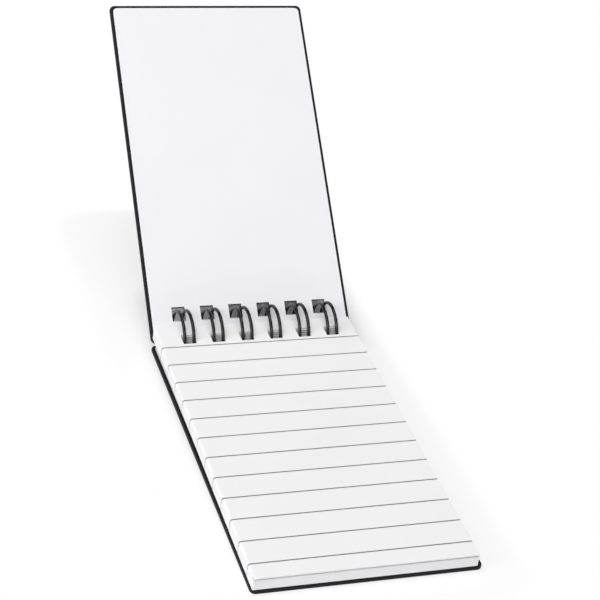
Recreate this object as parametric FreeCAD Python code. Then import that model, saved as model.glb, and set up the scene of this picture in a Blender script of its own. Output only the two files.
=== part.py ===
import FreeCAD, Part
import math
import os

# Top-bound pocket jotter: two hard covers with pasted linings, a block of ruled pages and one
# twin-loop wire. Millimetres. It is built in the pad's own flat frame and then set down on its
# feet: X runs across the pad, y = 0 is the spine edge of the back cover with the pages towards -Y,
# and z = 0 is the underside of the back cover. The front cover is built closed and then opened.

# covers
cover_width = 60.0
cover_length = 105.2
board_thickness = 1.25
cover_corner_radius = 2.2
lining_thickness = 0.15
lining_inset = 0.9              # bare border of a cover round its lining
front_opening = 141.1           # degrees from closed on the pages

# page block, which sits a little to the left on its wire
block_thickness = 3.57
block_edge_radius = 0.9         # the long top edges are rolled over where the pages were trimmed
block_margin_left = 0.25
block_margin_right = 1.65
block_margin_spine = 0.4
block_margin_front = 0.05
block_lift = 2.3                # the links carry the spine end of the pages this high

# punching, the same square holes in covers, linings and pages
loop_count = 6
loop_pitch = 8.47               # three holes to the inch
hole_side_gap = 0.145           # beside the two wires of a loop, on either side
hole_length = 4.2
page_hole_reach = 8.6           # spine end of the pages to the far lip of their holes
cover_lip_gap = 0.076           # near lip of the back cover's holes to the wires that pass it

# twin-loop wire
wire_diameter = 0.95
pair_spacing = 2.66             # between the two wires of one loop
link_bend_radius = 0.7          # where a wire turns into the link to the next loop
tip_gap = 0.2                   # a closed tip stops this far short of the line of links
loop_play = 5.94                # inside of a loop, over the height of the closed stack
loop_drop = 2.035               # underside of the back cover to the inside of a loop below it
loop_lip_gap = 0.05             # front of a loop to the far lip of the page holes

# clearances and hinge lines
layer_gap = 0.05                # between layers that only lie on each other
closed_gap = 0.15               # between the pages and the closed front cover
front_cover_back = 0.58         # closed, the front cover sits this far behind the back cover
front_hinge_front = 1.66        # its hinge line, in front of its own spine edge
front_hinge_drop = 2.19         # and below the inside of the closed cover
back_hinge_back = 0.5           # hinge line of the back cover, behind its spine edge
back_hinge_rise = 8.75          # and above its underside

# worked out from the values above
cover_thickness = board_thickness + lining_thickness
wire_radius = wire_diameter / 2
stack_height = 2 * cover_thickness + block_thickness + wire_diameter + 3 * layer_gap
loop_radius = (stack_height + loop_play + wire_diameter) / 2
page_hole_lip = block_margin_spine + page_hole_reach - hole_length
loop_y = loop_radius + wire_radius + loop_lip_gap - page_hole_lip - hole_length
loop_z = loop_radius - wire_radius - loop_drop
loop_xs = [(index - (loop_count - 1) / 2) * loop_pitch for index in range(loop_count)]
half_pair = pair_spacing / 2
link_z = cover_thickness + block_lift - wire_radius
hole_width = pair_spacing + wire_diameter + 2 * hole_side_gap
cover_hole_margin = math.sqrt((loop_radius - wire_radius - cover_lip_gap) ** 2 - loop_z ** 2) - loop_y

x_axis = FreeCAD.Vector(1, 0, 0)


def yz(y, z):
    """A point in the middle plane of the pad."""
    return FreeCAD.Vector(0, y, z)


def loop_point(x, angle):
    """A point on the centre line of a loop: 90 is its top, 180 its front and 270 its bottom."""
    turn = math.radians(angle)
    return FreeCAD.Vector(x, loop_y + loop_radius * math.cos(turn), loop_z + loop_radius * math.sin(turn))


def loop_direction(angle):
    """The direction in which the angle grows, at a point on a loop."""
    turn = math.radians(angle)
    return yz(-math.sin(turn), math.cos(turn))


# The wires leave the circle where the bend below them ends on the line of links.
bend_reach = math.hypot(loop_radius, link_bend_radius)
link_angle = (180 - math.degrees(math.asin((link_z - loop_z) / bend_reach))
              - math.degrees(math.atan2(link_bend_radius, loop_radius)))
tip_angle = link_angle + math.degrees((link_bend_radius + half_pair + tip_gap) / loop_radius)
link_y = (loop_point(0, link_angle) + loop_direction(link_angle) * link_bend_radius).y

# The links lie under the pages, so the block rests on its front edge and leans up over them.
block_front = block_margin_front - cover_length
block_foot = yz(block_front, cover_thickness + layer_gap)
block_lean = math.degrees(math.atan2(block_lift, link_y - block_front))
closed_inside = block_foot.z + block_thickness + closed_gap


def turned(shape, pivot, angle):
    """A copy of a shape, turned about the line along X through the pivot."""
    copy = shape.copy()
    copy.rotate(pivot, x_axis, angle)
    return copy


def rounded_outline(x0, x1, y0, y1, z, radius):
    """A closed rectangle with four rounded corners, at the height z."""
    corners = [(x0, y0, 180), (x1, y0, 270), (x1, y1, 0), (x0, y1, 90)]
    arcs = []
    for x, y, first in corners:
        centre_x = x + radius if x == x0 else x - radius
        centre_y = y + radius if y == y0 else y - radius
        points = []
        for angle in (first, first + 45, first + 90):
            turn = math.radians(angle)
            points.append(FreeCAD.Vector(centre_x + radius * math.cos(turn),
                                         centre_y + radius * math.sin(turn), z))
        arcs.append(points)
    edges = []
    for before, after in zip(arcs, arcs[1:] + arcs[:1]):
        edges.append(Part.Arc(*before).toShape())
        edges.append(Part.LineSegment(before[2], after[0]).toShape())
    return Part.Wire(edges)


def punched(sheet, near_lip, z, thickness):
    """A sheet with the row of square holes cut through it, the near lips in front of y = 0."""
    punches = [
        Part.makeBox(hole_width, hole_length, thickness + 2,
                     FreeCAD.Vector(x - hole_width / 2, -near_lip - hole_length, z - 1))
        for x in loop_xs
    ]
    return sheet.cut(punches)


def make_sheet(z, thickness, inset):
    """A punched sheet as large as a cover, less the inset all round, with its underside at z."""
    half = cover_width / 2 - inset
    outline = rounded_outline(-half, half, inset - cover_length, -inset, z, cover_corner_radius - inset)
    sheet = Part.Face(outline).extrude(FreeCAD.Vector(0, 0, thickness))
    return punched(sheet, cover_hole_margin, z, thickness)


def make_cover(z):
    """A hard cover, lying flat with its underside at z."""
    return make_sheet(z, board_thickness, 0)


def make_lining(z):
    """The paper pasted inside a cover, with its underside at z."""
    return make_sheet(z, lining_thickness, lining_inset)


def make_page_block():
    """The pages as one solid, leaning up over the links."""
    width = cover_width - block_margin_left - block_margin_right
    length = -block_margin_spine - block_front
    corner = FreeCAD.Vector(block_margin_left - cover_width / 2, block_front, block_foot.z)
    block = Part.makeBox(width, length, block_thickness, corner)
    top = block_foot.z + block_thickness
    long_top_edges = [
        edge for edge in block.Edges
        if edge.BoundBox.ZMin > top - 0.01 and edge.BoundBox.YLength > length - 0.01
    ]
    block = block.makeFillet(block_edge_radius, long_top_edges)
    block = punched(block, page_hole_lip, block_foot.z, block_thickness)
    return turned(block, block_foot, block_lean)


def loop_arc(x, first, last):
    """One wire of a loop from the first angle to the last, in three arcs."""
    edges = []
    for part in range(3):
        start = first + (last - first) * part / 3
        end = first + (last - first) * (part + 1) / 3
        arc = Part.Arc(loop_point(x, start), loop_point(x, (start + end) / 2), loop_point(x, end))
        edges.append(arc.toShape())
    return edges


def loop_edges(x):
    """The hairpin of one loop: up and over on the left, the closed tip, and back on the right."""
    up = loop_direction(tip_angle) * -1
    tip = Part.Arc(loop_point(x - half_pair, tip_angle), loop_point(x, tip_angle) + up * half_pair,
                   loop_point(x + half_pair, tip_angle))
    return (loop_arc(x - half_pair, link_angle, tip_angle - 360) + [tip.toShape()]
            + loop_arc(x + half_pair, tip_angle - 360, link_angle))


def link_edges(x, next_x):
    """The link from the right wire of one loop to the left wire of the next."""
    down = loop_direction(link_angle)
    half_turn = math.sqrt(0.5)
    halfway = down * half_turn + x_axis * (1 - half_turn)
    halfway_back = down * half_turn - x_axis * (1 - half_turn)
    leave = loop_point(x + half_pair, link_angle)
    join = loop_point(next_x - half_pair, link_angle)
    link_start = leave + (down + x_axis) * link_bend_radius
    link_end = join + (down - x_axis) * link_bend_radius
    return [
        Part.Arc(leave, leave + halfway * link_bend_radius, link_start).toShape(),
        Part.LineSegment(link_start, link_end).toShape(),
        Part.Arc(link_end, join + halfway_back * link_bend_radius, join).toShape(),
    ]


def make_binding_wire():
    """One continuous wire: six hairpin loops rolled round and joined by straight links."""
    edges = loop_edges(loop_xs[0])
    for x, next_x in zip(loop_xs, loop_xs[1:]):
        edges += link_edges(x, next_x)
        edges += loop_edges(next_x)
    start = loop_point(loop_xs[0] - half_pair, link_angle)
    section = Part.Circle(start, loop_direction(link_angle), wire_radius).toShape()
    return Part.Wire(edges).makePipeShell([Part.Wire([section])], True, False)


# Closed, the front cover lies on the leaning pages; then it swings open about its hinge line.
front_hinge = turned(Part.Vertex(yz(front_cover_back - front_hinge_front, closed_inside - front_hinge_drop)),
                     block_foot, block_lean).Point
back_hinge = yz(back_hinge_back, back_hinge_rise)


def opened(shape):
    """A piece of the front cover, laid closed on the pages and then opened."""
    closed = shape.translated(yz(front_cover_back, 0))
    return turned(turned(closed, block_foot, block_lean), front_hinge, -front_opening)


pieces = {
    "back_cover": make_cover(0),
    "back_lining": make_lining(board_thickness),
    "page_block": make_page_block(),
    "binding_wire": make_binding_wire(),
    "front_lining": opened(make_lining(closed_inside)),
    "front_cover": opened(make_cover(closed_inside + lining_thickness)),
}

# The pad is set down on the front edge of its back cover and on the undersides of the loops.
rest_edge = yz(-cover_length, 0)
loop_reach = loop_y - rest_edge.y
rest_tilt = (math.degrees(math.asin((loop_radius + wire_radius) / math.hypot(loop_reach, loop_z)))
             - math.degrees(math.atan2(loop_z, loop_reach)))
pieces = {name: turned(shape, rest_edge, rest_tilt) for name, shape in pieces.items()}
near = pieces["back_cover"].BoundBox.YMin
far = pieces["front_cover"].BoundBox.YMax
centring = yz(-(near + far) / 2, 0)

os.makedirs("parts", exist_ok=True)
for name, shape in pieces.items():
    shape.translate(centring)
    shape.exportStep("parts/" + name + ".step")

for name, hinge in (("front", front_hinge), ("back", back_hinge)):
    placed = turned(Part.Vertex(hinge), rest_edge, rest_tilt).Point + centring
    print(name, "hinge line: y", round(placed.y, 3), "z", round(placed.z, 3))
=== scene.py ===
import math
import random

import bpy
from mathutils import Matrix, Vector


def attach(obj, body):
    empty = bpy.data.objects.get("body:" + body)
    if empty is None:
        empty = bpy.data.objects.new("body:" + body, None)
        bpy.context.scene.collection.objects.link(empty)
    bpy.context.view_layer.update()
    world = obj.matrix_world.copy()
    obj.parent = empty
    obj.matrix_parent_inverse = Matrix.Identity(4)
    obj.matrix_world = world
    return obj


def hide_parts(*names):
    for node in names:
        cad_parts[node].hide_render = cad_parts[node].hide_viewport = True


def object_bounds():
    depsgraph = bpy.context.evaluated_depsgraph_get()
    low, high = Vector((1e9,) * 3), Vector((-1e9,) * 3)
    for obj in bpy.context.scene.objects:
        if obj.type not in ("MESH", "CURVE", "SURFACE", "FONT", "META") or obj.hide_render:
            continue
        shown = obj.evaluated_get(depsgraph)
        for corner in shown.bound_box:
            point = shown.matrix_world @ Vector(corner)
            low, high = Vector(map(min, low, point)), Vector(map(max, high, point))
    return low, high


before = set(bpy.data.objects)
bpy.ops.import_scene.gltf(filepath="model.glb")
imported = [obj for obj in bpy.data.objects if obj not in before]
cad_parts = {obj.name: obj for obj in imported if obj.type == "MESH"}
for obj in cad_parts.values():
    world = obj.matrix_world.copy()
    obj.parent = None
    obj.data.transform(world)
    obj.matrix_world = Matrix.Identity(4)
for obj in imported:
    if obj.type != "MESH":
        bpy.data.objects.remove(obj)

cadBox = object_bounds()
scene = bpy.context.scene
scene.view_settings.view_transform = "Standard"
mm = 0.001
random.seed(7)


# how a flat CAD node lies: its largest face gives the way up, its points give its size
def layOf(nodeName):
    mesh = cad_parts[nodeName].data
    largest = max(mesh.polygons, key=lambda face: face.area)
    up = largest.normal.copy()
    if up.z < 0:
        up.negate()
    across = Vector((1, 0, 0))
    along = up.cross(across).normalized()      # from the front edge towards the back
    turn = Matrix((across, along, up)).transposed()
    points = [turn.transposed() @ v.co for v in mesh.vertices]
    low = Vector([min(p[i] for p in points) for i in range(3)])
    high = Vector([max(p[i] for p in points) for i in range(3)])
    return {"turn": turn, "low": low, "high": high}


def addObject(name, data):
    added = bpy.data.objects.new(name, data)
    scene.collection.objects.link(added)
    return added


def addMesh(name, verts, faces):
    mesh = bpy.data.meshes.new(name)
    mesh.from_pydata(verts, [], faces)
    mesh.validate()
    mesh.update()
    return addObject(name, mesh)


def paint(piece, material):
    if piece.data.materials:
        for i in range(len(piece.data.materials)):
            piece.data.materials[i] = material
    else:
        piece.data.materials.append(material)


# node helpers
def newGroup(name, inputs, outputs):
    group = bpy.data.node_groups.new(name, "ShaderNodeTree")
    for label, kind, value in inputs:
        socket = group.interface.new_socket(name=label, in_out="INPUT", socket_type="NodeSocket" + kind)
        if value is not None:
            socket.default_value = value
    for label, kind in outputs:
        group.interface.new_socket(name=label, in_out="OUTPUT", socket_type="NodeSocket" + kind)
    start = group.nodes.new("NodeGroupInput")
    end = group.nodes.new("NodeGroupOutput")
    return group, start, end


def addNode(tree, kind, **settings):
    node = tree.nodes.new("ShaderNode" + kind)
    for key, value in settings.items():
        setattr(node, key, value)
    return node


# joins a socket, or sets a plain value
def feed(tree, target, source):
    if isinstance(source, bpy.types.NodeSocket):
        tree.links.new(source, target)
    else:
        target.default_value = source


def calc(tree, operation, a, b=None, c=None, clamp=False):
    node = addNode(tree, "Math", operation=operation, use_clamp=clamp)
    for i, value in enumerate((a, b, c)):
        if value is not None:
            feed(tree, node.inputs[i], value)
    return node.outputs[0]


def vectorCalc(tree, operation, a, b=(0, 0, 0)):
    node = addNode(tree, "VectorMath", operation=operation)
    feed(tree, node.inputs[0], a)
    feed(tree, node.inputs[1], b)
    return node.outputs["Value"] if operation in ("DOT_PRODUCT", "LENGTH") else node.outputs["Vector"]


def noise(tree, vector, scale, detail=2.0, rough=0.5):
    node = addNode(tree, "TexNoise", noise_dimensions="3D")
    feed(tree, node.inputs["Vector"], vector)
    feed(tree, node.inputs["Scale"], scale)
    node.inputs["Detail"].default_value = detail
    node.inputs["Roughness"].default_value = rough
    return node.outputs["Fac"]


# low to high becomes outLow to outHigh, and what lies outside is held at the ends
def spread(tree, value, low, high, outLow=0.0, outHigh=1.0):
    node = addNode(tree, "MapRange", clamp=True)
    feed(tree, node.inputs["Value"], value)
    for label, number in (("From Min", low), ("From Max", high), ("To Min", outLow), ("To Max", outHigh)):
        feed(tree, node.inputs[label], number)
    return node.outputs["Result"]


def mixColour(tree, factor, a, b):
    node = addNode(tree, "Mix", data_type="RGBA")
    feed(tree, node.inputs["Factor"], factor)
    feed(tree, node.inputs["A"], a)
    feed(tree, node.inputs["B"], b)
    return node.outputs["Result"]


def bump(tree, height, strength, distance):
    node = addNode(tree, "Bump")
    node.inputs["Strength"].default_value = strength
    node.inputs["Distance"].default_value = distance
    feed(tree, node.inputs["Height"], height)
    return node.outputs["Normal"]


def newMaterial(name, **settings):
    material = bpy.data.materials.new(name)
    material.use_nodes = True
    shader = material.node_tree.nodes["Principled BSDF"]
    for key, value in settings.items():
        shader.inputs[key].default_value = value
    return material, material.node_tree, shader


def objectPoint(tree):
    return addNode(tree, "TexCoord").outputs["Object"]


# matted paper fibres, an effect that every finish here uses at its own scale
fibreLook = {
    "warpScale": 0.35,                  # against the scale of the strands
    "warpReach": 1.2 * mm,
    "stretches": ((0.35, 1.0, 1.0), (1.0, 0.35, 0.6)),      # two sets of strands, drawn out across each other
    "strandRange": (0.45, 0.75),
    "cloudRange": (0.3, 0.7),
    "strandShare": 0.7,                 # of the height, the rest is clouds
}


def makeFibres():
    group, start, end = newGroup(
        "fibres",
        [("Vector", "Vector", None), ("Scale", "Float", 1500.0), ("Cloud", "Float", 220.0)],
        [("Strands", "Float"), ("Clouds", "Float"), ("Height", "Float")],
    )
    point, scale = start.outputs["Vector"], start.outputs["Scale"]
    warp = noise(group, point, calc(group, "MULTIPLY", scale, fibreLook["warpScale"]), 1.0)
    moved = vectorCalc(group, "ADD", point, calc(group, "MULTIPLY", warp, fibreLook["warpReach"]))
    sets = [noise(group, vectorCalc(group, "MULTIPLY", moved, stretch), scale, 3.0, 0.6)
            for stretch in fibreLook["stretches"]]
    strands = calc(group, "MAXIMUM", *sets)
    clouds = noise(group, point, start.outputs["Cloud"], 4.0, 0.55)
    share = fibreLook["strandShare"]
    height = calc(group, "MULTIPLY_ADD", strands, share, calc(group, "MULTIPLY", clouds, 1 - share))
    feed(group, end.inputs["Strands"], spread(group, strands, *fibreLook["strandRange"]))
    feed(group, end.inputs["Clouds"], spread(group, clouds, *fibreLook["cloudRange"]))
    feed(group, end.inputs["Height"], height)
    return group


fibres = makeFibres()
print("scene: paper fibres made")


# fibres in a material, at the scales of their strands and of their clouds
def addGrain(tree, scales):
    node = addNode(tree, "Group", node_tree=fibres)
    feed(tree, node.inputs["Vector"], objectPoint(tree))
    node.inputs["Scale"].default_value, node.inputs["Cloud"].default_value = scales
    return node.outputs


# the row of square holes, the same in the covers and in the pages
punching = {
    "count": 6,
    "pitch": 8.47 * mm,
    "width": 3.9 * mm,
    "length": 4.2 * mm,
    "coverMargin": 6.0 * mm,            # spine edge of a cover to the near lip of its holes
    "pageMargin": 4.4 * mm,             # and the same for the pages
    "coverCorner": 0.12 * mm,           # rounding of the holes in a cover
}


# where the holes stand across the pad
def holeXs():
    return [(i - (punching["count"] - 1) / 2) * punching["pitch"] for i in range(punching["count"])]


# covers: black paper wrapped board with softened edges
coverBoard = {
    "corner": 1.5 * mm,
    "softening": 0.3 * mm,              # how far the edges are rounded over
    "black": (0.006, 0.006, 0.0065, 1),
    "worn": (0.018, 0.0175, 0.0185, 1),
    "strandTone": 0.22,                 # how far single strands go towards the worn tone
    "rubbedEdge": (0.52, 0.62),         # how sharp an edge is where the rubbing starts, and where it is full
    "rubbedClouds": (0.2, 0.9),
    "roughness": (0.57, 0.62),
    "grain": (900.0, 240.0),
    "bump": (0.35, 0.06 * mm),
}


def makeCoverBlack():
    material, tree, shader = newMaterial("coverBlack", **{"Specular IOR Level": 0.2})
    grain = addGrain(tree, coverBoard["grain"])
    edge = spread(tree, addNode(tree, "NewGeometry").outputs["Pointiness"], *coverBoard["rubbedEdge"])
    rubbed = calc(tree, "MULTIPLY", edge, spread(tree, grain["Clouds"], *coverBoard["rubbedClouds"]))
    strands = calc(tree, "MULTIPLY", grain["Strands"], coverBoard["strandTone"])
    tone = calc(tree, "ADD", strands, rubbed, clamp=True)
    feed(tree, shader.inputs["Base Color"], mixColour(tree, tone, coverBoard["black"], coverBoard["worn"]))
    feed(tree, shader.inputs["Roughness"], spread(tree, grain["Clouds"], 0.0, 1.0, *coverBoard["roughness"]))
    feed(tree, shader.inputs["Normal"], bump(tree, grain["Height"], *coverBoard["bump"]))
    return material


coverBlack = makeCoverBlack()


# a flat outline of short straight runs, with the four corners rounded
def roundedOutline(x0, x1, y0, y1, radius, steps):
    points = []
    for cx, cy, first in ((x1 - radius, y1 - radius, 0), (x0 + radius, y1 - radius, 90),
                          (x0 + radius, y0 + radius, 180), (x1 - radius, y0 + radius, 270)):
        for i in range(steps + 1):
            turn = math.radians(first + 90 * i / steps)
            points.append((cx + radius * math.cos(turn), cy + radius * math.sin(turn)))
    return points


# a filled flat curve, thickened, with its edges rounded over, as a mesh
def plateMesh(name, outlines, thickness, softening):
    curve = bpy.data.curves.new(name, "CURVE")
    curve.dimensions = "2D"
    curve.fill_mode = "BOTH"
    curve.extrude = thickness / 2 - softening
    curve.bevel_depth = softening
    curve.bevel_resolution = 3
    curve.offset = -softening
    for outline in outlines:
        spline = curve.splines.new("POLY")
        spline.points.add(len(outline) - 1)
        for point, (x, y) in zip(spline.points, outline):
            point.co = (x, y, 0, 1)
        spline.use_cyclic_u = True
    draft = addObject(name + "Draft", curve)
    bpy.context.view_layer.update()
    mesh = bpy.data.meshes.new_from_object(draft.evaluated_get(bpy.context.evaluated_depsgraph_get()))
    bpy.data.objects.remove(draft)
    mesh.materials.clear()
    return mesh


# a punched cover, laid where its CAD node lies
def makeCover(name, nodeName, body, spineAtBack):
    lay = layOf(nodeName)
    low, high = lay["low"], lay["high"]
    spine, step = (high.y, -1) if spineAtBack else (low.y, 1)
    near = spine + step * punching["coverMargin"]
    far = near + step * punching["length"]
    front, back = sorted((near, far))
    half = punching["width"] / 2
    corner = punching["coverCorner"]
    outlines = [roundedOutline(low.x, high.x, low.y, high.y, coverBoard["corner"], 10)]
    outlines += [roundedOutline(x - half, x + half, front, back, corner, 3) for x in holeXs()]
    mesh = plateMesh(name, outlines, high.z - low.z, coverBoard["softening"])
    middleOfBoard = Matrix.Translation((0, 0, (low.z + high.z) / 2))
    mesh.transform(lay["turn"].to_4x4() @ middleOfBoard)
    piece = addObject(name, mesh)
    paint(piece, coverBlack)
    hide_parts(nodeName)
    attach(piece, body)


makeCover("frontCoverBoard", "front_cover", "front_cover", spineAtBack=False)
makeCover("backCoverBoard", "back_cover", "back_cover", spineAtBack=True)
print("scene: covers made")

# linings: smooth white paper pasted inside the covers
lining = {
    "white": (0.815, 0.815, 0.84, 1),
    "shade": (0.79, 0.79, 0.812, 1),
    "cloudTone": 0.5,
    "roughness": 0.62,
    "grain": (1400.0, 60.0),
    "bump": (0.2, 0.03 * mm),
}


def makeLiningPaper():
    material, tree, shader = newMaterial("liningPaper", **{"Roughness": lining["roughness"],
                                                           "Specular IOR Level": 0.3})
    grain = addGrain(tree, lining["grain"])
    tone = calc(tree, "MULTIPLY", grain["Clouds"], lining["cloudTone"])
    feed(tree, shader.inputs["Base Color"], mixColour(tree, tone, lining["white"], lining["shade"]))
    feed(tree, shader.inputs["Normal"], bump(tree, grain["Height"], *lining["bump"]))
    return material


liningPaper = makeLiningPaper()
for nodeName in ("front_lining", "back_lining"):
    paint(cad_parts[nodeName], liningPaper)
print("scene: linings painted")

# pages: a stack of ruled leaves, trimmed with rolled long edges
pages = {
    "leaves": 40,
    "air": 0.12,                        # share of a leaf's step that is air
    "leftRoll": 0.5 * mm,               # rounding of the long top edge on the left
    "rightRoll": 0.1 * mm,
    "rollReach": 0.95,                  # the trimming stops this short of a full quarter round
    "scatter": 0.05 * mm,               # how unevenly the leaves are trimmed
    "fuzzBeside": 0.09 * mm,            # how far torn hole edges are drawn in, beside the wires
    "fuzzBehind": 0.35 * mm,            # and on the spine side of them
    "shortLeaves": (3, 6),              # counted from the top, these end short at the front
    "shortBy": 1.1 * mm,
    "paper": {
        "white": (0.89, 0.885, 0.89, 1),
        "shade": (0.86, 0.853, 0.86, 1),
        "cutEdge": (0.85, 0.852, 0.87, 1),
        "cloudTone": 0.45,
        "grain": (1500.0, 70.0),
        "bump": (0.2, 0.03 * mm),
        "sideDepth": (0.25 * mm, 0.6 * mm),     # the finish turns into that of the cut sides over this depth
        "leafStretch": (0.02, 0.02, 1.0),       # the cut sides vary from leaf to leaf
        "leafScale": 9000.0,
        "leafRange": (0.3, 0.7),
    },
    # painted shade: a soft grey line along the front, below the top leaves, where the short leaves end short
    "lip": {
        "shade": (0.66, 0.655, 0.685, 1),
        "rise": (0.2 * mm, 0.42 * mm),
        "fall": (0.6 * mm, 1.0 * mm),
        "reach": 1.4 * mm,
    },
    "rules": {
        "first": 9.9 * mm,              # from the spine end
        "pitch": 8.148 * mm,
        "count": 12,
        "width": 0.44 * mm,
        "edges": (0.55, 1.2),           # against half the width: full ink ends, all ink ends
        "wobble": 0.06 * mm,
        "wobbleScale": 900.0,
        "ink": (0.16, 0.15, 0.155, 1),
        "faintInk": (0.55, 0.55, 0.62, 1),
        # down the cut side the ink stops, comes back as a dot, and goes on faint
        "stops": 0.7 * mm,
        "dotStarts": 1.0 * mm,
        "dotEnds": 1.45 * mm,
    },
    "tornEdgeAndShade": {
        # both tones are grey below the paper's white: painted shade inside the holes, mixed by the torn grain
        "light": (0.78, 0.78, 0.79, 1),
        "dark": (0.45, 0.45, 0.46, 1),
        "grain": (2200.0, 500.0),
        "bump": (0.4, 0.08 * mm),
    },
}
pageLay = layOf("page_block")


# 1 on the ruled lines and their marks down the cut sides, and the colour of the ink there
def ruleMask(tree, run, depth):
    rules = pages["rules"]
    steps = calc(tree, "DIVIDE", calc(tree, "SUBTRACT", run, rules["first"]), rules["pitch"])
    nearest = calc(tree, "ROUND", steps)
    away = calc(tree, "ABSOLUTE", calc(tree, "SUBTRACT", steps, nearest))
    away = calc(tree, "MULTIPLY", away, rules["pitch"])
    wobble = calc(tree, "SUBTRACT", noise(tree, objectPoint(tree), rules["wobbleScale"], 2.0), 0.5)
    away = calc(tree, "ADD", away, calc(tree, "MULTIPLY", wobble, rules["wobble"]))
    full, none = [rules["width"] / 2 * share for share in rules["edges"]]
    line = spread(tree, away, full, none, 1.0, 0.0)
    inRange = calc(tree, "MULTIPLY", calc(tree, "GREATER_THAN", nearest, -0.5),
                   calc(tree, "LESS_THAN", nearest, rules["count"] - 0.5))
    line = calc(tree, "MULTIPLY", line, inRange)
    gap = calc(tree, "MULTIPLY", calc(tree, "GREATER_THAN", depth, rules["stops"]),
               calc(tree, "LESS_THAN", depth, rules["dotStarts"]))
    line = calc(tree, "MULTIPLY", line, calc(tree, "SUBTRACT", 1.0, gap))
    faint = calc(tree, "GREATER_THAN", depth, rules["dotEnds"])
    return line, mixColour(tree, faint, rules["ink"], rules["faintInk"])


# 1 on the painted shade line just below the top leaves, at the front only
def lipMask(tree, run, depth):
    lip = pages["lip"]
    rise = spread(tree, depth, *lip["rise"])
    fall = spread(tree, depth, *lip["fall"], 1.0, 0.0)
    length = pageLay["high"].y - pageLay["low"].y
    atFront = calc(tree, "GREATER_THAN", run, length - lip["reach"])
    facing = vectorCalc(tree, "ABSOLUTE", addNode(tree, "TexCoord").outputs["Normal"])
    notSide = calc(tree, "LESS_THAN", vectorCalc(tree, "DOT_PRODUCT", facing, (1, 0, 0)), 0.5)
    atDepth = calc(tree, "MULTIPLY", rise, fall)
    return calc(tree, "MULTIPLY", atDepth, calc(tree, "MULTIPLY", atFront, notSide))


def makePagePaper():
    material, tree, shader = newMaterial("pagePaper", **{"Roughness": 0.7, "Specular IOR Level": 0.25})
    look = pages["paper"]
    point = objectPoint(tree)
    grain = addGrain(tree, look["grain"])
    along = Vector(pageLay["turn"].col[1])
    up = Vector(pageLay["turn"].col[2])
    run = calc(tree, "SUBTRACT", pageLay["high"].y, vectorCalc(tree, "DOT_PRODUCT", point, along))
    depth = calc(tree, "SUBTRACT", pageLay["high"].z, vectorCalc(tree, "DOT_PRODUCT", point, up))
    tone = calc(tree, "MULTIPLY", grain["Clouds"], look["cloudTone"])
    top = mixColour(tree, tone, look["white"], look["shade"])
    leaves = noise(tree, vectorCalc(tree, "MULTIPLY", point, look["leafStretch"]), look["leafScale"], 1.0)
    side = mixColour(tree, spread(tree, leaves, *look["leafRange"]), look["cutEdge"], look["shade"])
    body = mixColour(tree, spread(tree, depth, *look["sideDepth"]), top, side)
    # painted shade along the front, under the top leaves
    body = mixColour(tree, lipMask(tree, run, depth), body, pages["lip"]["shade"])
    line, ink = ruleMask(tree, run, depth)
    feed(tree, shader.inputs["Base Color"], mixColour(tree, line, body, ink))
    feed(tree, shader.inputs["Normal"], bump(tree, grain["Height"], *look["bump"]))
    return material


# the torn insides of the punched holes, mottled like torn paper and painted grey as painted shade in the
# holes
def makePunchedEdgeAndShade():
    material, tree, shader = newMaterial("punchedEdgeAndShade", **{"Roughness": 0.85, "Specular IOR Level": 0.1})
    tornAndShade = pages["tornEdgeAndShade"]
    grain = addGrain(tree, tornAndShade["grain"])
    feed(tree, shader.inputs["Base Color"], mixColour(tree, grain["Clouds"], tornAndShade["light"], tornAndShade["dark"]))
    feed(tree, shader.inputs["Normal"], bump(tree, grain["Height"], *tornAndShade["bump"]))
    return material


# one leaf as a punched plate: a grid of cells with the hole cells left out; walls are the faces in the holes
def leafCells(xs, ys, holes, bottom, top):
    verts, faces, walls, index = [], [], [], {}

    def corner(i, j, level):
        key = (i, j, level)
        if key not in index:
            index[key] = len(verts)
            verts.append((xs[i], ys[j], top if level else bottom))
        return index[key]

    cells = {(i, j) for i in range(len(xs) - 1) for j in range(len(ys) - 1)} - holes
    for i, j in sorted(cells):
        faces.append((corner(i, j, 1), corner(i + 1, j, 1), corner(i + 1, j + 1, 1), corner(i, j + 1, 1)))
        faces.append((corner(i, j, 0), corner(i, j + 1, 0), corner(i + 1, j + 1, 0), corner(i + 1, j, 0)))
        for di, dj, a, b in ((-1, 0, (i, j + 1), (i, j)), (1, 0, (i + 1, j), (i + 1, j + 1)),
                             (0, -1, (i, j), (i + 1, j)), (0, 1, (i + 1, j + 1), (i, j + 1))):
            if (i + di, j + dj) not in cells:
                if (i + di, j + dj) in holes:
                    walls.append(len(faces))
                faces.append((corner(*a, 0), corner(*b, 0), corner(*b, 1), corner(*a, 1)))
    return verts, faces, walls


# how far a rounded edge draws in at this depth below the top
def rollInset(depth, radius):
    rise = max(0.0, radius - depth)
    return (radius - math.sqrt(max(0.0, radius ** 2 - rise ** 2))) * pages["rollReach"]


# the edges of one leaf and its holes, each cut a little differently
def leafLines(fromTop, top):
    low, high = pageLay["low"], pageLay["high"]
    trimLeft, trimRight, trimFront, trimBack = [random.random() * pages["scatter"] for _ in range(4)]
    front = low.y + trimFront
    if pages["shortLeaves"][0] <= fromTop < pages["shortLeaves"][1]:
        front += pages["shortBy"]
    xs = [low.x + rollInset(high.z - top, pages["leftRoll"]) + trimLeft,
          high.x - rollInset(high.z - top, pages["rightRoll"]) - trimRight]
    for x in holeXs():
        xs += [x - punching["width"] / 2 + pages["fuzzBeside"] * random.random(),
               x + punching["width"] / 2 - pages["fuzzBeside"] * random.random()]
    near = high.y - punching["pageMargin"]
    far = near - punching["length"]
    return sorted(xs), [front, far, near - pages["fuzzBehind"] * random.random(), high.y - trimBack]


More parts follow.
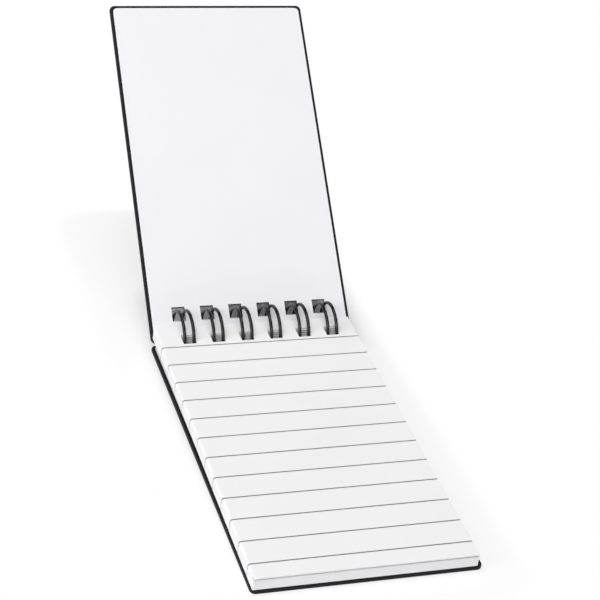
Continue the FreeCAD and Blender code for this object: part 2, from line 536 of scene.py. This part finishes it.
def makePages():
    low, high = pageLay["low"], pageLay["high"]
    step = (high.z - low.z) / pages["leaves"]
    thickness = step * (1 - pages["air"])
    holes = {(2 * i + 1, 1) for i in range(punching["count"])}
    verts, faces, walls = [], [], []
    for leaf in range(pages["leaves"]):
        fromTop = pages["leaves"] - 1 - leaf
        bottom = low.z + step * leaf if fromTop else high.z - thickness     # the top leaf lies flush
        xs, ys = leafLines(fromTop, bottom + thickness)
        leafVerts, leafFaces, leafWalls = leafCells(xs, ys, holes, bottom, bottom + thickness)
        base = len(verts)
        walls += [len(faces) + k for k in leafWalls]
        verts += [tuple(pageLay["turn"] @ Vector(v)) for v in leafVerts]
        faces += [tuple(base + k for k in face) for face in leafFaces]
    piece = addMesh("pageLeaves", verts, faces)
    piece.data.materials.append(makePagePaper())
    piece.data.materials.append(makePunchedEdgeAndShade())
    for k in walls:
        piece.data.polygons[k].material_index = 1
    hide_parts("page_block")
    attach(piece, "pad")


makePages()
print("scene: pages made")

# binding wire: black nylon coat over steel
wire = {
    "black": (0.004, 0.004, 0.0045, 1),
    "scuffed": (0.016, 0.016, 0.017, 1),
    "scuffRange": (0.55, 0.95),
    "scuffMost": 0.35,
    "roughness": (0.22, 0.32),
    "grain": (700.0, 260.0),
    "bump": (0.15, 0.04 * mm),
}


def makeWireCoat():
    material, tree, shader = newMaterial("wireCoat", **{"Specular IOR Level": 0.36})
    grain = addGrain(tree, wire["grain"])
    scuffs = spread(tree, grain["Strands"], *wire["scuffRange"], 0.0, wire["scuffMost"])
    feed(tree, shader.inputs["Base Color"], mixColour(tree, scuffs, wire["black"], wire["scuffed"]))
    feed(tree, shader.inputs["Roughness"], spread(tree, grain["Clouds"], 0.0, 1.0, *wire["roughness"]))
    feed(tree, shader.inputs["Normal"], bump(tree, grain["Clouds"], *wire["bump"]))
    return material


paint(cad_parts["binding_wire"], makeWireCoat())
print("scene: wire painted")

# floor and backdrop
studio = {
    "floorSize": 12.0,                  # metres
    "floor": (0.95, 0.95, 0.95, 1),
    "floorCloud": (0.93, 0.93, 0.93, 1),
    "cloudTone": 0.15,
    "floorGrain": (300.0, 12.0),
    "besidePad": (2 * mm, 13 * mm),     # the floor turns to plain white paper over this stretch round the pad
    "underPad": 0.62,                   # and under the pad it is this white, so the shadows stay soft
    # except behind the hinge, where the deepest shade shows through the holes of the open cover
    "deepShade": {"at": (6 * mm, 31 * mm), "half": (23 * mm, 9 * mm), "fade": 15 * mm},
    "world": 0.06,
    "horizon": (0.15, 0.35),            # the backdrop is white from the floor up to this height
}
middle = (cadBox[0] + cadBox[1]) / 2


# 1 for the rays that look at the studio: straight from the camera, in a gloss or through glass
def raysThatSee(tree):
    rays = addNode(tree, "LightPath")
    glossOrGlass = calc(tree, "MAXIMUM", rays.outputs["Is Glossy Ray"], rays.outputs["Is Transmission Ray"])
    return calc(tree, "MAXIMUM", rays.outputs["Is Camera Ray"], glossOrGlass)


# how far a point of the floor lies outside a rectangle, given by its middle and half sizes
def beyond(tree, centre, half):
    fromMiddle = vectorCalc(tree, "SUBTRACT", objectPoint(tree), (centre[0], centre[1], 0))
    past = vectorCalc(tree, "SUBTRACT", vectorCalc(tree, "ABSOLUTE", fromMiddle), (half[0], half[1], 0))
    return vectorCalc(tree, "LENGTH", vectorCalc(tree, "MAXIMUM", past, (0, 0, 0)))


def makeFloorPaper():
    material, tree, shader = newMaterial("floorPaper", **{"Roughness": 0.9, "Specular IOR Level": 0.1})
    tone = calc(tree, "MULTIPLY", addGrain(tree, studio["floorGrain"])["Clouds"], studio["cloudTone"])
    feed(tree, shader.inputs["Base Color"], mixColour(tree, tone, studio["floor"], studio["floorCloud"]))
    glow = addNode(tree, "Emission")
    glow.inputs["Color"].default_value = (1, 1, 1, 1)
    glow.inputs["Strength"].default_value = 1.0
    footprint = (cadBox[1] - cadBox[0]) / 2
    beside = spread(tree, beyond(tree, middle, footprint), *studio["besidePad"])
    shade = studio["deepShade"]
    fromShade = beyond(tree, shade["at"], shade["half"])
    under = spread(tree, fromShade, 0.0, shade["fade"], 0.0, studio["underPad"])
    white = calc(tree, "MAXIMUM", beside, under)
    mix = addNode(tree, "MixShader")
    feed(tree, mix.inputs[0], calc(tree, "MULTIPLY", raysThatSee(tree), white))
    tree.links.new(shader.outputs[0], mix.inputs[1])
    tree.links.new(glow.outputs[0], mix.inputs[2])
    tree.links.new(mix.outputs[0], tree.nodes["Material Output"].inputs["Surface"])
    return material


def makeFloor():
    half = studio["floorSize"] / 2
    corners = [(-half, -half, 0), (half, -half, 0), (half, half, 0), (-half, half, 0)]
    floor = addMesh("floor", corners, [(0, 1, 2, 3)])
    paint(floor, makeFloorPaper())


def makeWorld():
    world = bpy.data.worlds.new("studioWorld")
    world.use_nodes = True
    scene.world = world
    tree = world.node_tree
    background = tree.nodes["Background"]
    background.inputs["Color"].default_value = (1, 1, 1, 1)
    way = addNode(tree, "SeparateXYZ")
    feed(tree, way.inputs[0], addNode(tree, "TexCoord").outputs["Generated"])
    backdrop = spread(tree, way.outputs["Z"], *studio["horizon"], 1.0, 0.0)
    white = calc(tree, "MULTIPLY", raysThatSee(tree), backdrop)
    feed(tree, background.inputs["Strength"], spread(tree, white, 0.0, 1.0, studio["world"], 1.0))


makeFloor()
makeWorld()

# lamps: way is from the pad towards the lamp, far and size are in metres, power in watts
lamps = {
    "frontLamp": {"way": (-0.3, -0.74, 0.593), "far": 2.0, "size": 1.0, "power": 17.6},
    "topLamp": {"way": (-0.2, -0.02, 0.97), "far": 2.2, "size": 2.0, "power": 29.5},
    "leftLamp": {"way": (-0.95, -0.25, 0.45), "far": 2.0, "size": 1.6, "power": 17.0},
    "backLamp": {"way": (0.2, 0.86, 0.1), "far": 2.0, "size": 0.5, "power": 5.0},
}


def addLamp(name, settings):
    light = bpy.data.lights.new(name, "AREA")
    light.shape = "DISK"
    light.size = settings["size"]
    light.energy = settings["power"]
    lamp = addObject(name, light)
    away = Vector(settings["way"]).normalized()
    lamp.location = middle + away * settings["far"]
    lamp.rotation_mode = "QUATERNION"
    lamp.rotation_quaternion = away.to_track_quat("Z", "Y")


for name, settings in lamps.items():
    addLamp(name, settings)

# camera: a long lens from the front left, looking down on the open pad
view = {
    "place": (-147.035 * mm, -400.121 * mm, 270.444 * mm),
    "turn": (59.9948, -6.6647, -17.3352),
    "lens": 106.621,
    "sensor": 36.0,
}
cameraData = bpy.data.cameras.new("camera")
cameraData.lens = view["lens"]
cameraData.sensor_width = view["sensor"]
camera = addObject("camera", cameraData)
camera.location = view["place"]
camera.rotation_euler = [math.radians(angle) for angle in view["turn"]]
scene.camera = camera
print("scene: studio made")

bpy.context.view_layer.update()
